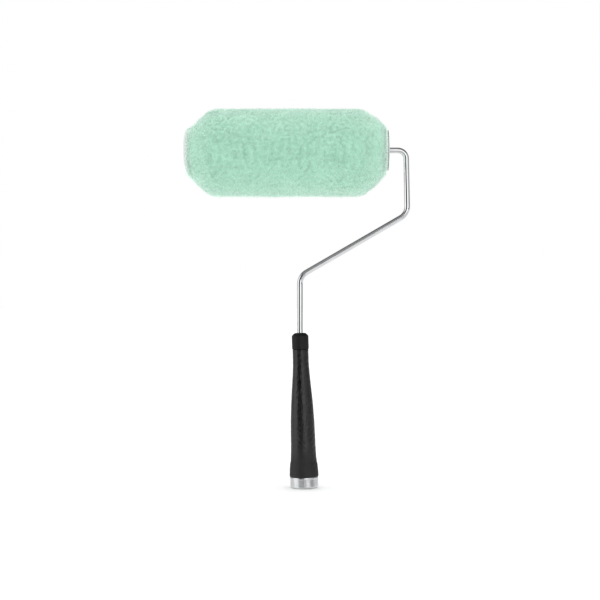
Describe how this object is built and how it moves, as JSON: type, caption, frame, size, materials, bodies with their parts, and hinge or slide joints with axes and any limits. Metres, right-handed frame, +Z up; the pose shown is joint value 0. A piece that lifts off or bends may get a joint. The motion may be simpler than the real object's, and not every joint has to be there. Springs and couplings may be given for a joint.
{
  "type": "paint roller",
  "caption": "Long-nap paint roller: a napped cover on a sprung wire cage, spinning on a bent rod frame with a grip and a threaded pole socket.",
  "frame": {"origin": "centre of the pole socket's mouth, on the ferrule's bottom face", "axes": "+X along the roller's axle towards the side where the rod comes out, +Y square to the tool's flat side, +Z up the tool from the handle to the roller"},
  "size_m": [0.2549, 0.098, 0.4294],
  "materials": {
    "zinc_rod": "gloss",
    "hardware_steel": "satin",
    "grip_rubber": "satin",
    "collar_plastic": "satin",
    "core_plastic": "matte",
    "ferrule_metal": "satin",
    "cap_plastic": "satin",
    "bearing_nylon": "satin",
    "wire_steel": "satin",
    "core_tube": "satin",
    "backing_knit": "matte",
    "pile_fibre": "matte"
  },
  "bodies": {
    "frame": {"frame_rod": "zinc_rod", "outer_washer": "hardware_steel", "stop_washer": "hardware_steel", "retaining_nut": "hardware_steel", "handle_core": "core_plastic", "handle_grip": "grip_rubber", "handle_collar": "collar_plastic", "pole_ferrule": "ferrule_metal"},
    "cage": {"inner_cap": "cap_plastic", "outer_cap": "cap_plastic", "outer_dome": "cap_plastic", "inner_bearing": "bearing_nylon", "outer_bearing": "bearing_nylon", "cage_wire_1": "wire_steel", "cage_wire_2": "wire_steel", "cage_wire_3": "wire_steel", "cage_wire_4": "wire_steel", "cage_wire_5": "wire_steel"},
    "cover": {"cover_core": "core_tube", "cover_backing": "backing_knit", "cover_pile": "pile_fibre"}
  },
  "joints": [
    {"name": "roller_spin", "type": "hinge", "parent": "frame", "child": "cage", "pos_m": [0, 0, 0.38], "axis": [1, 0, 0], "continuous": true},
    {"name": "cover_slide", "type": "slide", "parent": "cage", "child": "cover", "axis": [-1, 0, 0], "range_m": [0, 0.245]}
  ]
}
